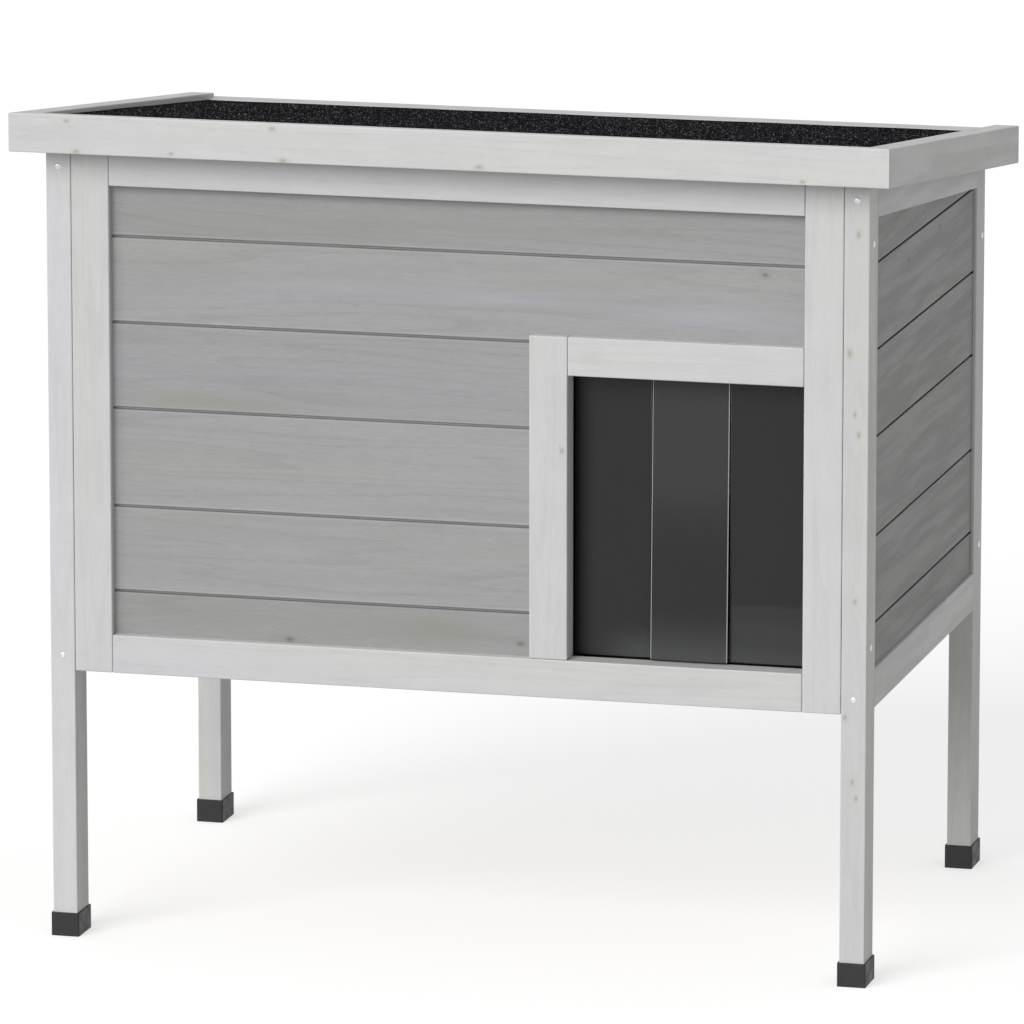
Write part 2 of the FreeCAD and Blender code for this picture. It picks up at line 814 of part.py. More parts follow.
def house_pieces():
    pieces = {}
    for end, y_ends in leg_depths:
        for name, side in sides:
            pieces[f"leg_{end}_{name}"] = leg(side, y_ends)
            pieces[f"foot_cap_{end}_{name}"] = foot_cap(side, y_ends)
    for end, y_ends in panel_depths:
        for name, side in sides:
            pieces[f"{end}_stile_{name}"] = stile(side, y_ends)
        low = front_head_bottom if end == "front" else rear_head_bottom
        pieces[f"{end}_top_rail"] = head_rail(low, y_ends)
        pieces[f"{end}_bottom_rail"] = bottom_rail(y_ends)
    pieces["door_post"] = door_post()
    pieces["door_header"] = door_header()
    for number, board in enumerate(boards(front_wall, front_outline)):
        pieces[f"front_board_{number + 1}"] = board
    pieces["rear_boards"] = Part.makeCompound(boards(rear_wall, rear_outline))
    for name, side in sides:
        wall = left_wall if side < 0 else right_wall
        pieces[f"side_top_rail_{name}"] = side_head_rail(side)
        pieces[f"side_bottom_rail_{name}"] = side_bottom_rail(side)
        pieces[f"side_boards_{name}"] = Part.makeCompound(boards(wall, side_outline))
        pieces[f"hinge_wall_leaf_{name}"] = hinge_wall_leaf(side)
        pieces[f"hinge_pin_{name}"] = hinge_pin(side)
    pieces["floor_panel"] = floor_panel()
    pieces["floor_ledgers"] = floor_ledgers()
    pieces["strip_clamp"] = strip_clamp()
    pieces["leg_screws"] = screws(leg_screw_places(), leg_screw_length)
    pieces["stile_screws"] = screws(stile_screw_places(), stile_screw_length)
    pieces["clamp_screws"] = screws(clamp_screw_places(), clamp_screw_length)
    pieces["ledger_screws"] = screws(ledger_screw_places(), ledger_screw_length)
    pieces["hinge_wall_screws"] = screws(wall_leaf_screw_places(), hinge_screw_length,
                                         small_head_radius, small_shank_radius)
    return pieces


def door_pieces():
    pieces = {}
    for number in range(strip_count):
        pieces[f"strip_tab_{number + 1}"] = strip_tab(number)
        pieces[f"door_strip_{number + 1}"] = door_strip(number)
    return pieces


def lid_pieces():
    pieces = {}
    pieces["roof_deck"] = roof_deck()
    pieces["roof_felt"] = roof_felt()
    pieces["roof_edge_front"] = front_edge_board()
    pieces["roof_edge_rear"] = rear_edge_board()
    pieces["deck_battens"] = deck_battens()
    for name, side in sides:
        pieces[f"roof_edge_{name}"] = side_edge_board(side)
        pieces[f"hinge_lid_leaf_{name}"] = hinge_lid_leaf(side)
    pieces["batten_screws"] = screws(batten_screw_places(), batten_screw_length)
    pieces["hinge_lid_screws"] = screws(lid_leaf_screw_places(), hinge_screw_length,
                                        small_head_radius, small_shank_radius)
    return pieces


os.makedirs("parts", exist_ok=True)
all_pieces = {**house_pieces(), **door_pieces(), **lid_pieces()}
for name, shape in all_pieces.items():
    shape.exportStep(f"parts/{name}.step")
    print(f"{name}: {len(shape.Solids)} solid, {shape.Volume / 1000:.1f} cm3, valid {shape.isValid()}")
print(f"{len(all_pieces)} pieces")
print(f"hinge axis y {hinge_y:.3f} z {hinge_z:.3f}, strip axis y {strip_y:.3f} z {strip_z:.3f}")
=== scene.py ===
import json
import math

import bpy
import numpy as np
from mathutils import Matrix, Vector


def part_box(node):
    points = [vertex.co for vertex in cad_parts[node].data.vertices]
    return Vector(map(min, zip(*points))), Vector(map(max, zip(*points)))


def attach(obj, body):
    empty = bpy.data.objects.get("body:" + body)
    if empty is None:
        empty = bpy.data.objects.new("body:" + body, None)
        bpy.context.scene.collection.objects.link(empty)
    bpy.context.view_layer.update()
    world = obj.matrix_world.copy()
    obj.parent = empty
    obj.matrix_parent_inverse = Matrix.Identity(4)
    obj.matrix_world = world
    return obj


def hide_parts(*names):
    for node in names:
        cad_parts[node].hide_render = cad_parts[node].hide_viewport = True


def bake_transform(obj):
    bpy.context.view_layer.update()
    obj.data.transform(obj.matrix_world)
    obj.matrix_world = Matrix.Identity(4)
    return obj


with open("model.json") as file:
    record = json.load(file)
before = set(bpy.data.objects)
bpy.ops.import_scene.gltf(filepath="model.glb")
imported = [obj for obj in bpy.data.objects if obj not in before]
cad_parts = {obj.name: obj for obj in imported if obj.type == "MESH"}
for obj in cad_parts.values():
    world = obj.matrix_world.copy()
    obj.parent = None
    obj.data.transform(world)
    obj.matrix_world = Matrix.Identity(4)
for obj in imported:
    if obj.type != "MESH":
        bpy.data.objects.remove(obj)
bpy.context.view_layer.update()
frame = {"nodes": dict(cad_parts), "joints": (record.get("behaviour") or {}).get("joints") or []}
print("frame loaded:", len(frame["nodes"]), "pieces")


def paint(red, green, blue):
    # screen levels from 0 to 255 as linear light: ((level + 0.055) / 1.055) to the power 2.4
    level = np.array([red, green, blue]) / 255
    linear = np.where(level <= 0.04045, level / 12.92, ((level + 0.055) / 1.055) ** 2.4)
    return (*linear.tolist(), 1.0)


def addNode(tree, kind, feeds=None, **settings):
    # one shader node: its settings, then a value or another node's socket for each input
    node = tree.nodes.new(kind)
    for name, value in settings.items():
        setattr(node, name, value)
    for name, value in (feeds or {}).items():
        if isinstance(value, bpy.types.NodeSocket):
            tree.links.new(value, node.inputs[name])
        else:
            node.inputs[name].default_value = value
    return node


def sums(tree, operation, first, second=0.0, third=0.0):
    # one step of arithmetic on numbers
    feeds = {0: first, 1: second, 2: third}
    return addNode(tree, "ShaderNodeMath", feeds, operation=operation).outputs[0]


def vectors(tree, operation, first, second=(0, 0, 0)):
    # one step of arithmetic on vectors; a distance or a length comes out as a number
    made = addNode(tree, "ShaderNodeVectorMath", {0: first, 1: second}, operation=operation)
    return made.outputs["Value" if operation in ("DISTANCE", "LENGTH") else "Vector"]


def split(tree, vector):
    # a vector's three numbers
    return addNode(tree, "ShaderNodeSeparateXYZ", {0: vector}).outputs


def mixed(tree, share, first, second):
    # first * (1 - share) + second * share
    feeds = {0: share, 6: first, 7: second}
    return addNode(tree, "ShaderNodeMix", feeds, data_type="RGBA").outputs[2]


def dimmed(tree, colour, level):
    # a colour, or any vector, times a level
    feeds = {0: colour, "Scale": level}
    return addNode(tree, "ShaderNodeVectorMath", feeds, operation="SCALE").outputs[0]


def eased(tree, value, low, high, toLow=0.0, toHigh=1.0):
    # smooth step from toLow at low to toHigh at high, flat outside
    feeds = {"Value": value, "From Min": low, "From Max": high, "To Min": toLow, "To Max": toHigh}
    return addNode(tree, "ShaderNodeMapRange", feeds, interpolation_type="SMOOTHSTEP").outputs[0]


def noise(tree, vector, scale, detail=3.0, roughness=0.5, distortion=0.0, output="Fac"):
    # cloudy noise about 0.5, scale times to a metre, each finer layer weaker by roughness
    feeds = {"Vector": vector, "Scale": scale, "Detail": detail, "Roughness": roughness,
             "Distortion": distortion}
    return addNode(tree, "ShaderNodeTexNoise", feeds).outputs[output]


def combined(tree, operation, values):
    # the least, the greatest or the sum of several values
    result = values[0]
    for value in values[1:]:
        result = sums(tree, operation, result, value)
    return result


def toneOf(tree, parts):
    # 1 plus, for each pattern, its weight times its distance from its middle value
    level = 1.0 - sum(weight * middle for _, weight, middle in parts)
    for socket, weight, _ in parts:
        level = sums(tree, "MULTIPLY_ADD", socket, weight, level)
    return level


def newMaterial(name, **sockets):
    # a material with numbers on its shader's own sockets, and the coordinates of its object
    made = bpy.data.materials.new(name)
    made.use_nodes = True
    tree = made.node_tree
    shader = tree.nodes["Principled BSDF"]
    for socket, value in sockets.items():
        shader.inputs[socket.replace("_", " ")].default_value = value
    where = addNode(tree, "ShaderNodeTexCoord").outputs["Object"]
    return made, tree, shader, where


def finishWith(tree, shader, colour, roughness):
    # a pattern's colour and roughness into the shader
    tree.links.new(colour, shader.inputs["Base Color"])
    tree.links.new(roughness, shader.inputs["Roughness"])


def bumpInto(tree, shader, height, strength, distance):
    # a height from 0 to 1 as relief, distance metres deep at full strength
    feeds = {"Height": height, "Strength": strength, "Distance": distance}
    bump = addNode(tree, "ShaderNodeBump", feeds)
    tree.links.new(bump.outputs[0], shader.inputs["Normal"])


# Softwood. The pattern fills a solid block whose X runs along the grain, so it turns over edges and
# shows on ends as in sawn timber.
grain = dict(
    fibre=(60, 640), streak=(7, 95), band=(1.2, 24), ring=(1.2, 26), pore=(120, 1100),  # per metre
    contrast=(0.3, 0.7), bandContrast=(0.34, 0.66), poreContrast=(0.64, 0.76),  # noise levels for 0 and 1
    ringCount=11.0, ringContrast=(0.62, 0.97), waveScale=4.0, wave=0.007, shift=9,
    knotCells=(5.5, 15, 3.4), knotReach=(0.024, 0.060), knotShare=0.3, swirl=0.004,
    knotRing=(0.35, 1.0), knotHeart=(0.12, 0.42), knotHalo=(0.4, 3.2),  # in half widths of a knot
    placedRing=(0.4, 1.6), placedHeart=(0.15, 0.8), placedHalo=(0.8, 5.0), knotSqueeze=0.6,
    height=dict(Fibre=0.4, Line=-0.5, Pore=-0.6),  # beside the streaks' height of 1
)


def woodPattern():
    # outputs, 0 to 1: fibres, streaks, a slow band, growth lines, pores, and each knot's ring and heart
    group = bpy.data.node_groups.new("wood pattern", "ShaderNodeTree")
    group.interface.new_socket("Vector", in_out="INPUT", socket_type="NodeSocketVector")
    group.interface.new_socket("Swirl", in_out="INPUT", socket_type="NodeSocketFloat")
    for name in ("Fibre", "Streak", "Band", "Line", "Pore", "Knot", "Heart"):
        group.interface.new_socket(name, in_out="OUTPUT", socket_type="NodeSocketFloat")
    start = group.nodes.new("NodeGroupInput").outputs
    end = group.nodes.new("NodeGroupOutput").inputs

    # knots grow in some of the cells of a stretched cell pattern
    cells = vectors(group, "MULTIPLY", start["Vector"], grain["knotCells"])
    near = addNode(group, "ShaderNodeTexVoronoi", {"Vector": cells, "Scale": 1.0}, feature="F1")
    draw = split(group, near.outputs["Color"])
    chosen = sums(group, "LESS_THAN", draw[0], grain["knotShare"])
    small, large = grain["knotReach"]
    reach = sums(group, "MULTIPLY_ADD", draw[1], large - small, small)
    away = sums(group, "DIVIDE", near.outputs["Distance"], reach)
    ring, heart, halo = (sums(group, "MULTIPLY", eased(group, away, *grain[part], 1, 0), chosen)
                         for part in ("knotRing", "knotHeart", "knotHalo"))

    # the grain wanders a little and bows out round knots
    wander = noise(group, start["Vector"], grain["waveScale"], 2, output="Color")
    centred = vectors(group, "SUBTRACT", wander, (0.5, 0.5, 0.5))
    moved = vectors(group, "MULTIPLY", centred, (0.0, grain["wave"], grain["wave"]))
    around = sums(group, "MAXIMUM", halo, start["Swirl"])
    bow = addNode(group, "ShaderNodeCombineXYZ", {1: sums(group, "MULTIPLY", around, grain["swirl"])})
    laid = vectors(group, "ADD", start["Vector"], vectors(group, "ADD", moved, bow.outputs[0]))

    def drawnOut(name, detail, roughness=0.5, distortion=0.0):
        # noise that is long along the grain and short across it
        along, across = grain[name]
        where = vectors(group, "MULTIPLY", laid, (along, across, across))
        return noise(group, where, 1.0, detail, roughness, distortion)

    rings = sums(group, "MULTIPLY", drawnOut("ring", 2, 0.4), grain["ringCount"])
    results = {
        "Fibre": eased(group, drawnOut("fibre", 3, 0.6), *grain["contrast"]),
        "Streak": eased(group, drawnOut("streak", 2, 0.5, 0.3), *grain["contrast"]),
        "Band": eased(group, drawnOut("band", 2, 0.5, 0.2), *grain["bandContrast"]),
        "Line": eased(group, sums(group, "FRACT", rings), *grain["ringContrast"]),
        "Pore": eased(group, drawnOut("pore", 1), *grain["poreContrast"]),
        "Knot": ring,
        "Heart": heart,
    }
    for name, socket in results.items():
        group.links.new(socket, end[name])
    return group


pattern = woodPattern()
turns = {"x": (0, 0, 0), "y": (0, 0, -math.pi / 2), "z": (0, math.pi / 2, 0)}  # brings the grain to X


def levelled(tree, where, lean):
    # the piece's coordinates turned about X, so that a sloping timber lies level
    if not lean:
        return where
    return addNode(tree, "ShaderNodeMapping", {"Vector": where, "Rotation": (lean, 0, 0)}).outputs[0]


def sawnWood(tree, where, along, seed, swirl=0.0, jump=None):
    # the wood pattern for one stretch of the block: turned to the grain and moved by the seed
    place = np.random.default_rng(seed).uniform(-grain["shift"], grain["shift"], 3)
    feeds = {"Vector": where, "Rotation": turns[along], "Location": tuple(place)}
    sawn = addNode(tree, "ShaderNodeMapping", feeds).outputs[0]
    if jump:
        sawn = vectors(tree, "ADD", sawn, jump)
    feeds = {"Vector": sawn, "Swirl": swirl}
    return addNode(tree, "ShaderNodeGroup", feeds, node_tree=pattern).outputs


def nearestKnot(tree, where, places, through, along):
    # distance to the nearest knot in its half widths, and how far the grain bows out there: knots
    # run through the piece and are longer along the grain
    squeeze = np.ones(3)
    squeeze["xyz".index(through)] = 0.0
    squeeze["xyz".index(along)] = grain["knotSqueeze"]
    flat = vectors(tree, "MULTIPLY", where, squeeze.tolist())
    inFace = [i for i in range(3) if "xyz"[i] != through]
    shares = []
    for *place, half in places:
        centre = np.zeros(3)
        centre[inFace] = place
        away = vectors(tree, "DISTANCE", flat, (centre * squeeze).tolist())
        shares.append(sums(tree, "DIVIDE", away, half))
    nearest = combined(tree, "MINIMUM", shares)
    return nearest, eased(tree, nearest, *grain["placedHalo"], 1, 0)


def washedWood(tree, look, wood, placed=None, extra=()):
    # two washes that follow the slow band; fibres, streaks, growth lines and pores as small changes
    # of level; knots on top
    colour = mixed(tree, wood["Band"], look["cool"], look["warm"])
    parts = [(wood["Fibre"], look["fibre"], 0.5), (wood["Streak"], look["streak"], 0.5),
             (wood["Line"], -look["line"], 0.3), (wood["Pore"], -look["pore"], 0.0), *extra]
    colour = dimmed(tree, colour, toneOf(tree, parts))
    ring, heart = wood["Knot"], wood["Heart"]
    if placed:
        ring = sums(tree, "MAXIMUM", ring, eased(tree, placed, *grain["placedRing"], 1, 0))
        heart = sums(tree, "MAXIMUM", heart, eased(tree, placed, *grain["placedHeart"], 1, 0))
    colour = mixed(tree, sums(tree, "MULTIPLY", ring, look["knotShare"]), colour, look["knot"])
    return mixed(tree, sums(tree, "MULTIPLY", heart, look["heartShare"]), colour, look["heart"])


def woodRelief(tree, shader, look, wood):
    # height = streaks + each other pattern times its weight
    height = wood["Streak"]
    for name, weight in grain["height"].items():
        height = sums(tree, "MULTIPLY_ADD", wood[name], weight, height)
    bumpInto(tree, shader, height, look["bump"], look["relief"])


timberFinish = dict(
    warm=paint(208, 209, 205), cool=paint(208, 208, 210), knot=paint(190, 191, 178),
    heart=paint(160, 158, 142), fibre=0.035, streak=0.04, line=0.035, pore=0.07, knotShare=0.55,
    # edge: paler edges, partly worn wash and partly a painted highlight
    heartShare=0.55, cloud=(26, 3, 0.55), edgeWidth=0.0016, edge=0.085, wearAndHighlight=(0.36, 0.6, 0.45, 1),
    handling=0.03, roughness=(0.48, 0.64), specular=0.3, bump=0.3, relief=0.0002,
    # cornerDepth and cornerShadeTone: painted shade on the stiles' inner faces beside the boards
    cornerDepth=(-0.2368, -0.2335), cornerShadeTone=0.72,
)
timberTones = {  # each piece's own tone, mostly how its batch took the wash; the darker right roof edge and rear legs are painted shade
    "roof_edge_front": (1.045, 1.04, 1.04), "roof_edge_right": (0.955, 0.955, 0.955),
    "leg_rear_left": (0.97, 0.97, 0.97), "leg_rear_right": (0.97, 0.97, 0.97),
    "leg_front_left": (1.045, 1.035, 1.065), "leg_front_right": (0.98, 0.977, 0.961),
    "front_stile_left": (1.0, 0.993, 1.018), "front_stile_right": (1.018, 1.008, 1.034),
    "door_header": (1.015, 1.01, 1.015),
}
timberKnots = {  # places that show: two coordinates in the face and the knot's half width, in metres
    "roof_edge_front": [
        (-0.3248, 0.6987, 0.0032), (-0.1412, 0.6983, 0.0034), (-0.1506, 0.7253, 0.0026),
        (-0.3332, 0.7247, 0.0024), (-0.2402, 0.7000, 0.0022), (0.0313, 0.7000, 0.0032),
        (0.3108, 0.6991, 0.0022),
    ],
    "leg_front_right": [
        (0.3454, 0.5494, 0.0034), (0.3503, 0.4971, 0.0022), (0.3538, 0.4798, 0.0026),
        (0.3524, 0.6510, 0.0028), (0.3437, 0.2353, 0.0022), (0.3538, 0.1651, 0.0022),
        (0.3504, 0.1794, 0.0024), (0.3515, 0.3357, 0.0024),
    ],
    "door_post": [(0.0956, 0.4535, 0.0026)],
}


def pointsOf(name):
    # a carried-over piece's points, one row each
    mesh = frame["nodes"][name].data
    points = np.empty(len(mesh.vertices) * 3)
    mesh.vertices.foreach_get("co", points)
    return points.reshape(-1, 3)


def boxAlong(name, lean):
    # lowest and highest corner of a piece after its coordinates are turned level
    x, y, z = pointsOf(name).T
    cos, sin = math.cos(lean), math.sin(lean)
    turned = np.stack([x, y * cos - z * sin, y * sin + z * cos])
    return turned.min(1), turned.max(1)


def nearEdge(tree, where, low, high, width):
    # 1 on the edges of a box, 0 from width inwards: on an edge two of its faces are near at once
    away = vectors(tree, "ABSOLUTE", vectors(tree, "SUBTRACT", where, tuple((low + high) / 2)))
    x, y, z = split(tree, vectors(tree, "SUBTRACT", tuple((high - low) / 2), away))
    larger = sums(tree, "MAXIMUM", x, y)
    second = sums(tree, "MAXIMUM", sums(tree, "MINIMUM", x, y), sums(tree, "MINIMUM", larger, z))
    return eased(tree, second, 0.0, width, 1, 0)


def whiteTimber(name, along, seed, lean=0.0):
    # a greyish white wash that lets the grain through, paler along the edges: partly worn wash, partly a
    # painted edge highlight
    look = timberFinish
    made, tree, shader, where = newMaterial(f"white timber {name}", Specular_IOR_Level=look["specular"])
    level = levelled(tree, where, lean)
    low, high = boxAlong(name, lean)
    knots, swirl = None, 0.0
    if name in timberKnots:
        through = "xyz"[int(np.argmin(high - low))] if along == "x" else "y"
        knots, swirl = nearestKnot(tree, where, timberKnots[name], through, along)
    cloud = noise(tree, level, *look["cloud"])
    # paler edges: partly worn wash, partly a painted edge highlight
    wornAndHighlit = sums(tree, "MULTIPLY", nearEdge(tree, level, low, high, look["edgeWidth"]),
                  eased(tree, cloud, *look["wearAndHighlight"]))
    handled = eased(tree, cloud, *grain["contrast"])
    wood = sawnWood(tree, level, along, seed, swirl)
    colour = washedWood(tree, look, wood, knots,
                        [(wornAndHighlit, look["edge"], 0.0), (handled, look["handling"], 0.5)])
    colour = vectors(tree, "MULTIPLY", colour, timberTones.get(name, (1, 1, 1)))
    if name.startswith("front_stile"):  # painted shade darkens the corner beside the boards
        depth = split(tree, where)[1]
        cornerShade = eased(tree, depth, *look["cornerDepth"], 1, look["cornerShadeTone"])
        colour = dimmed(tree, colour, cornerShade)
    finishWith(tree, shader, colour, eased(tree, wood["Streak"], 0.0, 1.0, *look["roughness"]))
    woodRelief(tree, shader, look, wood)
    return made


boardFinish = dict(
    warm=paint(162, 162, 161), cool=paint(163, 163, 165), knot=paint(144, 144, 134),
    heart=paint(116, 115, 104), lilac=paint(172, 172, 179), olive=paint(155, 155, 148),
    knotShare=0.6, heartShare=0.7, fibre=0.07, streak=0.065, line=0.06, pore=0.10,
    tones=(0.93, 1.01, 1.03, 0.985, 1.03, 0.955), roughness=(0.55, 0.70), specular=0.3, bump=0.35,
    relief=0.00025, courseJump=(3.7, 0.0, 0.9), seed=dict(front=4, rear=21, side=11),
    # wall: the rear and side walls are darker as painted shade
    wall=dict(front=(1, 1, 1), rear=(0.98, 0.98, 0.98), side=(0.825, 0.825, 0.807)),
    jointHalf=0.0026, jointDepth=(0.0008, 0.0016), groove=dict(front=0.95, rear=0.5, side=0.3),
    # chamfer and chamferReach: a painted highlight along the joints' edges
    chamfer=0.13, chamferReach=(0.0020, 0.0033), zoneEdge=(0.1, 1.0), zoneGrain=(0.2, 0.75, 0.45, 1),
    # paintedFloorLight and besideStileLight are painted light, crack a painted shadow line
    floorHalf=0.00095, paintedFloorLight=0.2, crackBelow=0.00138, crackHalf=(0.00017, 0.00036), crackShade=0.5,
    besideStile=(0.0, 0.008), besideStileLight=0.4,
)
boardKnots = {
    "front": [(0.2699, 0.6113, 0.0026), (0.0567, 0.2814, 0.0032), (-0.1490, 0.2738, 0.0034)],
    "side": [(0.0585, 0.6103, 0.0028), (-0.0691, 0.6006, 0.0026)],
}
boardZones = {  # soft patches of a wash: its name, x and z of the middle, reach in x and z, share
    "front": [
        ("lilac", 0.050, 0.581, 0.120, 0.014, 0.60), ("lilac", 0.225, 0.572, 0.120, 0.016, 0.65),
        ("lilac", -0.120, 0.584, 0.150, 0.012, 0.30), ("olive", -0.236, 0.592, 0.060, 0.022, 0.55),
        ("olive", -0.210, 0.479, 0.130, 0.014, 0.70), ("olive", -0.240, 0.370, 0.080, 0.018, 0.40),
        ("olive", -0.220, 0.294, 0.090, 0.020, 0.55), ("olive", -0.014, 0.290, 0.050, 0.020, 0.50),
        ("olive", -0.095, 0.634, 0.090, 0.020, 0.50), ("olive", 0.020, 0.640, 0.330, 0.008, 0.35),
        ("olive", -0.240, 0.634, 0.130, 0.022, 0.50), ("olive", -0.040, 0.289, 0.140, 0.018, 0.55),
    ],
}
courses = [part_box(f"front_board_{n}")[0].z for n in range(1, 7)] + [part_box("front_board_6")[1].z]


def steppedBy(tree, tests, values):
    # the first value, plus each next difference where its test is 1
    level = float(values[0])
    for test, before, after in zip(tests, values[:-1], values[1:]):
        level = sums(tree, "MULTIPLY_ADD", test, float(after - before), level)
    return level


def greyBoards(name, along):
    # stained boards: each course is cut from another part of the block and has its own tone; the open
    # joints between them are dark inside, with a painted highlight along their edges
    look = boardFinish
    made, tree, shader, where = newMaterial(f"grey boards {name}", Specular_IOR_Level=look["specular"])
    parts = split(tree, where)
    height = parts[2]
    tests = [sums(tree, "GREATER_THAN", height, low) for low in courses[1:-1]]
    above = sums(tree, "SUBTRACT", height, steppedBy(tree, tests, courses[:-1]))
    below = sums(tree, "SUBTRACT", steppedBy(tree, tests, courses[1:]), height)
    fromJoint = sums(tree, "MINIMUM", above, below)
    sample = {"front": "front_board_1", "rear": "rear_boards", "side": "side_boards_right"}[name]
    across = 0 if name == "side" else 1
    low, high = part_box(sample)
    face = max(abs(low[across]), abs(high[across]))
    depth = sums(tree, "SUBTRACT", face, sums(tree, "ABSOLUTE", parts[across]))

    knots, swirl = None, 0.0
    if name in boardKnots:
        knots, swirl = nearestKnot(tree, where, boardKnots[name], "xyz"[across], along)
    jump = dimmed(tree, look["courseJump"], steppedBy(tree, tests, range(len(courses) - 1)))
    wood = sawnWood(tree, where, along, look["seed"][name], swirl, jump)
    dark = sums(tree, "MULTIPLY", sums(tree, "LESS_THAN", fromJoint, look["jointHalf"]),
                eased(tree, depth, *look["jointDepth"]))
    lit = sums(tree, "MULTIPLY", eased(tree, fromJoint, *look["chamferReach"], 1, 0),
               sums(tree, "LESS_THAN", depth, look["jointDepth"][0]))
    colour = washedWood(tree, look, wood, knots, [(lit, look["chamfer"], 0.0)])
    for wash, x, z, reachX, reachZ, share in boardZones.get(name, []):
        offset = vectors(tree, "SUBTRACT", where, (x, 0, z))
        offset = vectors(tree, "MULTIPLY", offset, (1 / reachX, 0, 1 / reachZ))
        weight = eased(tree, vectors(tree, "LENGTH", offset), *look["zoneEdge"], share, 0)
        weight = sums(tree, "MULTIPLY", weight, eased(tree, wood["Streak"], *look["zoneGrain"]))
        colour = mixed(tree, weight, colour, look[wash])
    tone = sums(tree, "MULTIPLY", steppedBy(tree, tests, look["tones"]),
                sums(tree, "MULTIPLY_ADD", dark, look["groove"][name] - 1, 1.0))
    if name == "front":
        # painted light on the joint's floor, a painted thin shadow on the lower chamfer, and painted light
        # on the boards beside the left stile, which thins the stile's shadow there
        onFloor = sums(tree, "LESS_THAN", fromJoint, look["floorHalf"])
        lift = sums(tree, "MULTIPLY", sums(tree, "MULTIPLY", onFloor, dark), look["paintedFloorLight"])
        fromCrack = sums(tree, "ABSOLUTE", sums(tree, "SUBTRACT", below, look["crackBelow"]))
        crackShade = eased(tree, fromCrack, *look["crackHalf"], 1 - look["crackShade"], 1)
        fromStile = sums(tree, "SUBTRACT", parts[0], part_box("front_stile_left")[1].x)
        stileSideLight = eased(tree, fromStile, *look["besideStile"], 1 + look["besideStileLight"], 1)
        tone = combined(tree, "MULTIPLY", [tone, sums(tree, "ADD", lift, 1.0), crackShade, stileSideLight])
    # each wall's tone, darker on the rear and side as painted shade
    colour = vectors(tree, "MULTIPLY", dimmed(tree, colour, tone), look["wall"][name])
    finishWith(tree, shader, colour, eased(tree, wood["Streak"], 0.0, 1.0, *look["roughness"]))
    woodRelief(tree, shader, look, wood)
    return made


plyFinish = dict(
    pale=paint(214, 200, 172), dark=paint(190, 170, 136), glue=paint(120, 92, 64), line=0.45,
    streak=0.35, fibre=0.05, pore=0.12, ply=0.0015, glueShare=0.16, roughness=(0.56, 0.68),
    specular=0.3, bump=0.3, relief=0.0002,
)


def plywood(name, seed, lean=0.0):
    # bare ply: flat figure on the faces, layers with glue lines on the edges
    look = plyFinish
    made, tree, shader, where = newMaterial(f"plywood {name}", Specular_IOR_Level=look["specular"])
    level = levelled(tree, where, lean)
    wood = sawnWood(tree, level, "x", seed)
    colour = mixed(tree, eased(tree, wood["Line"], 0.0, 1.0, 0, look["line"]), look["pale"], look["dark"])
    colour = mixed(tree, sums(tree, "MULTIPLY", wood["Streak"], look["streak"]), colour, look["dark"])
    parts = [(wood["Fibre"], look["fibre"], 0.5), (wood["Pore"], -look["pore"], 0.0)]
    colour = dimmed(tree, colour, toneOf(tree, parts))
    facing = split(tree, addNode(tree, "ShaderNodeTexCoord").outputs["Normal"])[2]  # the piece's own
    onEdge = sums(tree, "LESS_THAN", sums(tree, "ABSOLUTE", facing), 0.5)
    layer = sums(tree, "FRACT", sums(tree, "DIVIDE", split(tree, level)[2], look["ply"]))
    glue = sums(tree, "MULTIPLY", sums(tree, "LESS_THAN", layer, look["glueShare"]), onEdge)
    colour = mixed(tree, glue, colour, look["glue"])
    finishWith(tree, shader, colour, eased(tree, wood["Streak"], 0.0, 1.0, *look["roughness"]))
    woodRelief(tree, shader, look, wood)
    return made


zincFinish = dict(
    bright=paint(196, 196, 195), dull=paint(146, 147, 149), roughness=(0.3, 0.5), spangle=900,
    marks=(240, 4, 0.6), bump=0.2, relief=0.0001,
)
screwFinish = dict(
    zincFinish, bright=paint(218, 218, 216), dull=paint(176, 177, 178), roughness=(0.30, 0.44),
    spangle=1600,
)


def zincSteel(name, look):
    # zinc plate: small spangles, dulled by handling marks
    made, tree, shader, where = newMaterial(name, Metallic=1.0)
    cells = addNode(tree, "ShaderNodeTexVoronoi", {"Vector": where, "Scale": look["spangle"]})
    marks = noise(tree, where, *look["marks"])
    dulled = sums(tree, "MULTIPLY", split(tree, cells.outputs["Color"])[0], marks)
    finishWith(tree, shader, mixed(tree, dulled, look["bright"], look["dull"]),
               eased(tree, marks, 0.3, 0.7, *look["roughness"]))
    bumpInto(tree, shader, marks, look["bump"], look["relief"])
    return made


footFinish = dict(
    black=paint(33, 33, 34), worn=paint(52, 52, 53), scuffs=(160, 5, 0.65), scuffed=(0.52, 0.7),
    scuffHeight=0.008, scuffLeast=0.15, sheen=(90, 3), roughness=(0.42, 0.6), specular=0.4,
    grain=(2600, 2), bump=0.3, relief=0.00012,
)


def footPlastic():
    # moulded plastic: a fine spark-eroded grain, scuffed paler towards the ground
    look = footFinish
    made, tree, shader, where = newMaterial("foot plastic", Specular_IOR_Level=look["specular"])
    low = eased(tree, split(tree, where)[2], 0.0, look["scuffHeight"], 1, look["scuffLeast"])
    scuff = eased(tree, noise(tree, where, *look["scuffs"]), *look["scuffed"])
    colour = mixed(tree, sums(tree, "MULTIPLY", scuff, low), look["black"], look["worn"])
    sheen = eased(tree, noise(tree, where, *look["sheen"]), 0.3, 0.7, *look["roughness"])
    finishWith(tree, shader, colour, sheen)
    bumpInto(tree, shader, noise(tree, where, *look["grain"]), look["bump"], look["relief"])
    return made


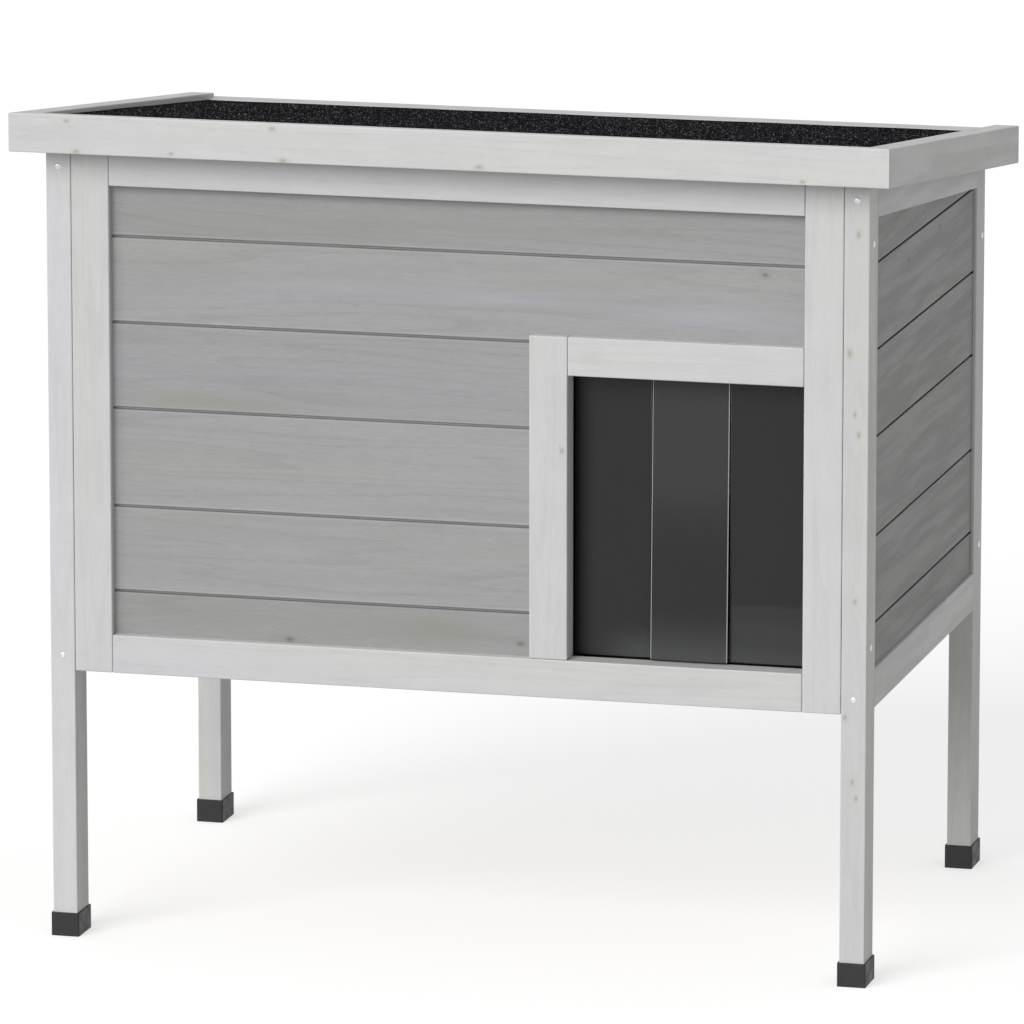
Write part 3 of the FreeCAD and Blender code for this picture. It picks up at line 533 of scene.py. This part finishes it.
# Each carried-over piece gets the finish of its slot. A timber's grain runs along its longest side.
slotOf = {name: piece.data.materials[0].name.split(".")[0] for name, piece in frame["nodes"].items()}
roofFall = math.atan2(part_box("roof_edge_front")[1].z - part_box("roof_edge_rear")[1].z,
                      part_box("roof_edge_rear")[1].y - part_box("roof_edge_front")[0].y)
sloping = ("roof_edge_left", "roof_edge_right", "roof_deck")


def dressPieces():
    # one finish for each timber and ply piece, one for each wall of boards, steel and feet
    steel, feet = zincSteel("zinc steel", zincFinish), footPlastic()
    walls = (("front", "x"), ("rear", "x"), ("side", "y"))
    boards = {wall: greyBoards(wall, along) for wall, along in walls}
    for seed, (name, piece) in enumerate(sorted(frame["nodes"].items())):
        low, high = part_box(name)
        along = "xyz"[int(np.argmax(high - low))]
        lean = roofFall if name in sloping else 0.0
        slot = slotOf[name]
        if slot == "white_timber":
            finish = whiteTimber(name, along, seed, lean)
        elif slot == "grey_boards":
            finish = boards[name.split("_")[0]]
        elif slot == "panel_wood":
            finish = plywood(name, seed, lean)
        else:
            finish = feet if slot == "foot_plastic" else steel
        piece.data.materials.clear()
        piece.data.materials.append(finish)


dressPieces()
print("timber, boards, ply, steel and feet finished")


def meshPiece(name, points, faces, smooth=True):
    # an object at the origin from an array of points and lists of corners
    mesh = bpy.data.meshes.new(name)
    mesh.from_pydata(points.reshape(-1, 3).tolist(), [], faces)
    mesh.update()
    mesh.polygons.foreach_set("use_smooth", np.full(len(mesh.polygons), smooth))
    made = bpy.data.objects.new(name, mesh)
    bpy.context.scene.collection.objects.link(made)
    return made


def tubeFaces(rings, around):
    # quads between neighbouring rings of a closed profile, facing out where the profile runs
    # anticlockwise seen against the path's direction
    ring, side = np.meshgrid(np.arange(rings - 1), np.arange(around), indexing="ij")
    after = (side + 1) % around
    here, beyond = ring * around, (ring + 1) * around
    return np.stack([here + side, here + after, beyond + after, beyond + side], -1).reshape(-1, 4)


screwLook = dict(
    radius=0.0028, dome=0.0009, sunk=0.0004, rings=16, around=48, apart=0.008, crossWidth=0.00045,
    crossFlank=1.6, crossReach=0.0014, crossEnd=0.0004, crossDepth=0.0007,
)


def headPlaces(node, axis):
    # the middle of each screw's head: the node's points are split wherever they leave a gap across
    # the screws, and by side along them
    points = pointsOf(node)
    groups = [points[points[:, axis] < 0], points[points[:, axis] > 0]]
    for other in (i for i in range(3) if i != axis):
        ordered = [group[np.argsort(group[:, other])] for group in groups]
        groups = [part for group in ordered for part in np.split(
            group, np.flatnonzero(np.diff(group[:, other]) > screwLook["apart"]) + 1)]
    middles = np.array([(group.min(0) + group.max(0)) / 2 for group in groups])
    middles[:, axis] = [group[np.argmax(np.abs(group[:, axis])), axis] for group in groups]
    return middles


def screwHeads(name, node, axis, finish):
    # domed heads on a polar grid: height = dome * (1 - share of the radius squared), less a cross
    # that is two bars deep; the rim goes straight down into the timber
    look = screwLook
    rings, around = look["rings"], look["around"]
    share, angle = np.meshgrid(np.linspace(0, 1, rings)[1:],
                               np.linspace(0, 2 * math.pi, around + 1)[:-1], indexing="ij")
    a, b = share * look["radius"] * np.cos(angle), share * look["radius"] * np.sin(angle)

    def bar(across, along):
        # 1 on the bar's floor, down to 0 over its flanks and its ends
        flank = np.clip(look["crossFlank"] - np.abs(across) / look["crossWidth"], 0, 1)
        return flank * np.clip((look["crossReach"] - np.abs(along)) / look["crossEnd"], 0, 1)

    height = look["dome"] * (1 - share ** 2) - look["crossDepth"] * np.maximum(bar(a, b), bar(b, a))
    top = np.stack([a, b, height], -1)
    rim = top[-1].copy()
    rim[:, 2] = -look["sunk"]
    crown = [[0, 0, look["dome"] - look["crossDepth"]]]
    foot = [[0, 0, -look["sunk"]]]
    local = np.concatenate([crown, top.reshape(-1, 3), rim, foot])
    side = np.arange(around)
    after = (side + 1) % around
    last = 1 + (rings - 1) * around
    fan = np.stack([0 * side, 1 + side, 1 + after], -1)
    skirt = tubeFaces(rings, around)[:, ::-1] + 1
    base = np.stack([0 * side + len(local) - 1, last + after, last + side], -1)
    points, faces = [], []
    first, second = [i for i in range(3) if i != axis]
    for middle in headPlaces(node, axis):
        out = np.sign(middle[axis])
        place = np.zeros_like(local)
        place[:, axis] = local[:, 2] * out
        place[:, first], place[:, second] = local[:, 0] * (out if axis == 0 else -out), local[:, 1]
        start = len(local) * len(points)
        faces += [corners for part in (fan, skirt, base) for corners in (part + start).tolist()]
        points.append(place + middle)
    made = meshPiece(name, np.concatenate(points), faces)
    made.data.materials.append(finish)
    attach(made, "house")


screwSteel = zincSteel("bright screws", screwFinish)
screwHeads("leg_screw_heads", "leg_screws", 1, screwSteel)
screwHeads("stile_screw_heads", "stile_screws", 0, screwSteel)
print("screw heads set")


stripLook = dict(
    corner=0.0008, cornerSteps=4, across=15, along=120, bow=0.0004, bowDrop=0.15, easeFrom=0.0012,
    easeTo=0.0265, blendAbove=0.0013, lean=(0.0, math.radians(1.5), 0.0), endRound=0.0008, endSteps=4,
    # smoke is the sheet's own colour, the second colour a painted reflection, the third a pale cut edge
    # with a painted highlight
    smoke=paint(44, 44, 44), paintedReflection=paint(78, 79, 80), edge=paint(222, 225, 223),
    edgeWidth=(0.0004, 0.0009, 0.0005), edgeEnd=0.0001, edgeShare=(0.3, 1.0, 0.3), scuffs=0.03,
    scuffScale=(900, 900, 25), cloud=0.06, cloudScale=14, wobble=0.004, ripple=(40, 2, 0.5),
    roughness=(0.28, 0.32), specular=0.18, bump=0.02, relief=0.0003,
    postHidesReflection=(0.009, 0.060), postShade=(0.0, 0.019, 0.12, 1),  # strip 1 hangs in the post's shade
)
stripReflections = {  # painted reflection: height where it starts, height where it is full, and how much it adds
    1: [(0.308, 0.262, 1.10)],
    2: [(0.345, 0.440, 0.19), (0.385, 0.435, 0.20), (0.323, 0.220, 1.95)],
    3: [(0.3265, 0.3190, 0.25), (0.316, 0.300, 0.15), (0.292, 0.264, 0.60)],
}


def stripProfile(width, thick, radius, steps, across):
    # a rounded rectangle, anticlockwise from its lower right corner: quarter arcs joined by
    # straight sides
    halfX, halfY = width / 2 - radius, thick / 2 - radius
    arcs = []
    for quarter, (sx, sy) in enumerate([(1, -1), (1, 1), (-1, 1), (-1, -1)]):
        angle = (quarter - 1 + np.linspace(0, 1, steps + 1)) * math.pi / 2
        x, y = sx * halfX + radius * np.cos(angle), sy * halfY + radius * np.sin(angle)
        arcs.append(np.stack([x, y], -1))
        if quarter in (1, 3):
            inner = np.linspace(arcs[-1][-1], [-sx * halfX, sy * (halfY + radius)], across + 2)[1:-1]
            arcs.append(inner)
    return np.concatenate(arcs)


def hangingStrip(number, finish):
    # one flexible sheet: the profile goes straight down behind the header, eases over by its lean
    # below the clamp and then bows a little across its width; both ends are rounded off
    look = stripLook
    tabLow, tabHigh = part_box(f"strip_tab_{number}")
    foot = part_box(f"door_strip_{number}")[0].z
    joint = next(j for j in frame["joints"] if j["name"] == f"strip_{number}_bend")["pos_m"]
    middle, width, thick = (tabLow.x + tabHigh.x) / 2, tabHigh.x - tabLow.x, tabHigh.y - tabLow.y
    outline = stripProfile(width, thick, look["corner"], look["cornerSteps"], look["across"])
    body = np.linspace(tabHigh.z - look["endRound"], foot + look["endRound"], look["along"])
    turn = np.linspace(0, math.pi / 2, look["endSteps"] + 1)[1:]
    rounding = look["endRound"] * (1 - np.cos(turn))          # how far the profile has shrunk
    heights = np.concatenate([(tabHigh.z - look["endRound"] * (1 - np.sin(turn)))[::-1], body,
                              foot + look["endRound"] * (1 - np.sin(turn))])
    shrink = np.concatenate([rounding[::-1], np.zeros(len(body)), rounding])
    drop = np.clip(joint[2] - look["easeFrom"] - heights, 0, None)
    share = np.clip(drop / (look["easeTo"] - look["easeFrom"]), 0, 1)
    angle = look["lean"][number - 1] * share * share * (3 - 2 * share)
    outwards = np.cumsum(np.tan(angle) * -np.diff(heights, prepend=heights[0]))
    spread = outline[None, :, :] * (1 - shrink[:, None, None] / np.array([width / 2, thick / 2]))
    bowed = look["bow"] * np.clip(drop / look["bowDrop"], 0, 1)[:, None]
    bow = bowed * np.cos(math.pi * spread[:, :, 0] / width)
    x = middle + spread[:, :, 0]
    y = (tabLow.y + tabHigh.y) / 2 - outwards[:, None] + spread[:, :, 1] - bow
    z = np.broadcast_to(heights[:, None], x.shape)
    rings, around = x.shape
    ends = [list(range(around)), list(range((rings - 1) * around, rings * around))[::-1]]
    faces = tubeFaces(rings, around)[:, ::-1].tolist() + ends
    made = meshPiece(f"hanging_strip_{number}", np.stack([x, y, z], -1), faces)
    made.data.materials.append(finish)
    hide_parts(f"door_strip_{number}", f"strip_tab_{number}")
    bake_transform(made)


def smokedPlastic(number):
    # flexible smoked sheet: nearly black, with a painted reflection mostly towards the floor, and pale cut
    # edges with a painted highlight
    look = stripLook
    low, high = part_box(f"door_strip_{number}")
    made, tree, shader, where = newMaterial(f"smoked strip {number}", Specular_IOR_Level=look["specular"])
    parts = split(tree, where)
    cloud = noise(tree, where, look["cloudScale"])
    level = sums(tree, "MULTIPLY_ADD", sums(tree, "SUBTRACT", cloud, 0.5), look["wobble"] * 2, parts[2])
    # a painted reflection, mostly towards the floor
    paintedReflection = combined(tree, "ADD", [eased(tree, level, start, full, 0, share)
                                  for start, full, share in stripReflections[number]])
    fromPost = sums(tree, "SUBTRACT", parts[0], low.x)
    # strip 1 loses the painted reflection near the post
    if number == 1:
        paintedReflection = sums(tree, "MULTIPLY", paintedReflection, eased(tree, fromPost, *look["postHidesReflection"]))
    colour = mixed(tree, paintedReflection, look["smoke"], look["paintedReflection"])
    drawn = vectors(tree, "MULTIPLY", where, look["scuffScale"])
    scuffs = eased(tree, noise(tree, drawn, 1.0, 2, 0.6), 0.35, 0.65)
    tones = [(scuffs, look["scuffs"], 0.5), (cloud, look["cloud"], 0.5)]
    colour = dimmed(tree, colour, toneOf(tree, tones))
    # pale cut edges that also carry a painted highlight
    fromMiddle = sums(tree, "ABSOLUTE", sums(tree, "SUBTRACT", parts[0], (low.x + high.x) / 2))
    half, edge, share = (high.x - low.x) / 2, look["edgeWidth"][number - 1], look["edgeShare"][number - 1]
    cutEdgeAndHighlight = eased(tree, fromMiddle, half - edge, half - look["edgeEnd"], 0, share)
    colour = mixed(tree, cutEdgeAndHighlight, colour, look["edge"])
    if number == 1:
        colour = dimmed(tree, colour, eased(tree, fromPost, *look["postShade"]))
    finishWith(tree, shader, colour, eased(tree, scuffs, 0, 1, *look["roughness"]))
    bumpInto(tree, shader, noise(tree, where, *look["ripple"]), look["bump"], look["relief"])
    return made


for number in (1, 2, 3):
    hangingStrip(number, smokedPlastic(number))
print("door strips hung")


feltLook = dict(
    cell=0.009, sunk=0.0009, ripple=0.00025, waves=[(31, 11, 0.4), (-17, 43, 1.9), (57, 29, 4.0)],
    edgeLift=0.0006, edgeWidth=0.006, grains=27000, grainSize=(0.0004, 0.0010), grainMargin=0.001,
    grainUneven=(0.6, 1.15), grainFlat=0.75, seed=3,
    bitumen=paint(20, 20, 22), black=paint(36, 36, 38), grey=paint(68, 69, 72), pale=paint(102, 103, 107),
    bright=paint(154, 156, 160), shares=(0.50, 0.79, 0.955), speckScale=1100.0, speckPower=3.0,
    speckShare=0.60, patches=(7, 4, 0.55), patch=0.35, sheen=(700, 2), roughness=(0.85, 1.0),
    bump=0.5, relief=0.0005,
)


def feltSheet():
    # mineral felt in one mesh: a sheet z = slope + ripple that turns up a little at the edge boards,
    # closed underneath, and grains: small pyramids, their bases sunk, scattered over it
    look = feltLook
    rng = np.random.default_rng(look["seed"])
    low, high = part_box("roof_felt")
    fall = math.tan(roofFall)
    flat = pointsOf("roof_felt") @ (0, fall, 1)
    level, thick = flat.max(), np.ptp(flat)
    countX, countY = (max(2, int((high[i] - low[i]) / look["cell"])) for i in (0, 1))
    u, v = np.meshgrid(np.linspace(low.x, high.x, countX), np.linspace(low.y, high.y, countY),
                       indexing="ij")

    def topOf(x, y):
        # ripple: three slow waves at odd angles; rim: a lift that fades over edgeWidth
        ripple = sum(np.sin(x * a + y * b + c) for a, b, c in look["waves"]) / len(look["waves"])
        rim = np.minimum.reduce([x - low.x, high.x - x, y - low.y, high.y - y])
        lift = look["edgeLift"] * np.exp(-rim / look["edgeWidth"] * 2)
        return level - y * fall - look["sunk"] + look["ripple"] * ripple + lift

    top = np.stack([u, v, topOf(u, v)], -1)
    bottom = np.stack([u, v, level - thick - v * fall], -1)
    index = np.arange(countX * countY).reshape(countX, countY)
    quads = np.stack([index[:-1, :-1], index[1:, :-1], index[1:, 1:], index[:-1, 1:]], -1).reshape(-1, 4)
    rimPath = np.concatenate([index[:, 0], index[-1, 1:], index[-2::-1, -1], index[0, -2:0:-1]])
    after = np.roll(rimPath, -1)
    under = countX * countY
    walls = np.stack([rimPath, rimPath + under, after + under, after], -1)
    sheetFaces = np.concatenate([quads, quads[:, ::-1] + under, walls])

    many, margin = look["grains"], look["grainMargin"]
    gx = rng.uniform(low.x + margin, high.x - margin, many)
    gy = rng.uniform(low.y + margin, high.y - margin, many)
    size = rng.uniform(*look["grainSize"], many)
    spin = rng.uniform(0, math.pi, many)
    pyramid = np.array([[1, 0, -0.5], [0, 1, -0.5], [-1, 0, -0.5], [0, -1, -0.5], [0, 0, 1]])
    lump = pyramid[None] * rng.uniform(*look["grainUneven"], (many, 5, 1)) * size[:, None, None]
    cos, sin = np.cos(spin)[:, None], np.sin(spin)[:, None]
    turned = np.stack([lump[..., 0] * cos - lump[..., 1] * sin, lump[..., 0] * sin + lump[..., 1] * cos,
                       lump[..., 2] * look["grainFlat"]], -1)
    grains = turned + np.stack([gx, gy, topOf(gx, gy)], -1)[:, None, :]
    six = np.array([[0, 1, 4], [1, 2, 4], [2, 3, 4], [3, 0, 4], [0, 2, 1], [0, 3, 2]])
    grainFaces = (np.arange(many)[:, None, None] * 5 + six[None] + 2 * under).reshape(-1, 3)
    points = np.concatenate([top.reshape(-1, 3), bottom.reshape(-1, 3), grains.reshape(-1, 3)])
    made = meshPiece("mineral_felt", points, sheetFaces.tolist() + grainFaces.tolist(), smooth=False)
    tint = np.concatenate([np.zeros(2 * under), np.repeat(rng.uniform(0.02, 1, many), 5)])
    made.data.attributes.new("grain", "FLOAT", "POINT").data.foreach_set("value", tint)
    return made


def mineralFelt():
    # black bitumen under grains that are mostly black, some grey and a few that are nearly white
    look = feltLook
    made, tree, shader, where = newMaterial("mineral felt", Specular_IOR_Level=0.0)
    grainTint = addNode(tree, "ShaderNodeAttribute", {}, attribute_name="grain").outputs["Fac"]
    speck = addNode(tree, "ShaderNodeTexVoronoi", {"Vector": where, "Scale": look["speckScale"]})
    dust = sums(tree, "POWER", split(tree, speck.outputs["Color"])[0], look["speckPower"])
    colour = mixed(tree, sums(tree, "MULTIPLY", dust, look["speckShare"]), look["bitumen"], look["grey"])
    patches = eased(tree, noise(tree, where, *look["patches"]), 0.35, 0.65)
    colour = dimmed(tree, colour, toneOf(tree, [(patches, look["patch"], 0.5)]))
    onGrain = sums(tree, "GREATER_THAN", grainTint, 0.01)  # the sheet's tint is 0, a grain's from 0.02
    colour = mixed(tree, onGrain, colour, look["black"])
    for wash, share in zip(("grey", "pale", "bright"), look["shares"]):
        colour = mixed(tree, sums(tree, "GREATER_THAN", grainTint, share), colour, look[wash])
    sheen = eased(tree, noise(tree, where, *look["sheen"]), 0.3, 0.7, *look["roughness"])
    finishWith(tree, shader, colour, sheen)
    bumpInto(tree, shader, speck.outputs["Distance"], look["bump"], look["relief"])
    return made


felt = feltSheet()
felt.data.materials.append(mineralFelt())
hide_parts("roof_felt")
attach(felt, "lid")
print("roofing felt laid")


studio = dict(
    ambient=0.43, floorSize=24.0, floorTone=paint(205, 205, 205), floorRoughness=0.9, floorGlow=0.60,
    keyStrength=1.95, keySoft=42.0, keyAside=22.0, keyHigh=26.0,
)


def seen(tree):
    # 1 for rays from the camera, from gloss and through glass, which see the white background
    path = addNode(tree, "ShaderNodeLightPath").outputs
    rays = ("Is Camera Ray", "Is Glossy Ray", "Is Transmission Ray")
    return combined(tree, "MAXIMUM", [path[ray] for ray in rays])


def setStudio():
    # an even white surround, a pale floor and one large soft lamp from the front left
    world = bpy.data.worlds.new("studio")
    bpy.context.scene.world = world
    world.use_nodes = True
    tree = world.node_tree
    glow = tree.nodes["Background"]
    glow.inputs["Color"].default_value = (1, 1, 1, 1)
    tree.links.new(eased(tree, seen(tree), 0, 1, studio["ambient"], 1.0), glow.inputs["Strength"])

    half = studio["floorSize"] / 2
    corners = np.array([[-half, -half, 0], [half, -half, 0], [half, half, 0], [-half, half, 0]])
    floor = meshPiece("studio_floor", corners, [[0, 1, 2, 3]], smooth=False)
    made, tree, shader = newMaterial("studio floor", Base_Color=studio["floorTone"],
                                     Roughness=studio["floorRoughness"], Specular_IOR_Level=0.0)[:3]
    light = addNode(tree, "ShaderNodeEmission", {"Color": (1, 1, 1, 1)})
    tree.links.new(sums(tree, "MULTIPLY", seen(tree), studio["floorGlow"]), light.inputs["Strength"])
    both = addNode(tree, "ShaderNodeAddShader", {0: shader.outputs[0], 1: light.outputs[0]}).outputs[0]
    under = addNode(tree, "ShaderNodeNewGeometry").outputs["Backfacing"]  # from below the floor is clear
    clear = addNode(tree, "ShaderNodeBsdfTransparent").outputs[0]
    whole = addNode(tree, "ShaderNodeMixShader", {0: under, 1: both, 2: clear}).outputs[0]
    tree.links.new(whole, tree.nodes["Material Output"].inputs["Surface"])
    floor.data.materials.append(made)

    key = bpy.data.lights.new("softbox", "SUN")
    key.energy = studio["keyStrength"]
    key.angle = math.radians(studio["keySoft"])
    lamp = bpy.data.objects.new("softbox", key)
    bpy.context.scene.collection.objects.link(lamp)
    aside, lift = math.radians(studio["keyAside"]), math.radians(studio["keyHigh"])
    towards = Vector((-math.sin(aside) * math.cos(lift), -math.cos(aside) * math.cos(lift), math.sin(lift)))
    lamp.rotation_euler = towards.to_track_quat("Z", "Y").to_euler()


# The photograph's view. Its camera was level with its picture shifted far down; a shift that large
# would push every other view out of its frame, so this one tilts and keeps the same standpoint.
cameraPlace = dict(
    at=(1.96591, -7.51215, 1.93029), turnedLeft=14.745, tiltedDown=11.514, focal=9002.2, picture=1024,
    sensor=36.0, sight=60,
)


def setCamera():
    # focal length in picture widths times the sensor's width; it looks ahead, turned and tilted
    place = cameraPlace
    made = bpy.data.cameras.new("camera")
    made.sensor_width = place["sensor"]
    made.lens = place["focal"] / place["picture"] * place["sensor"]
    made.clip_end = place["sight"]
    camera = bpy.data.objects.new("camera", made)
    bpy.context.scene.collection.objects.link(camera)
    left, down = math.radians(place["turnedLeft"]), math.radians(place["tiltedDown"])
    ahead = Vector((-math.sin(left) * math.cos(down), math.cos(left) * math.cos(down), -math.sin(down)))
    camera.location = place["at"]
    camera.rotation_euler = ahead.to_track_quat("-Z", "Y").to_euler()
    bpy.context.scene.camera = camera


setStudio()
setCamera()
bpy.context.scene.view_settings.view_transform = "Standard"
print("studio and camera set")
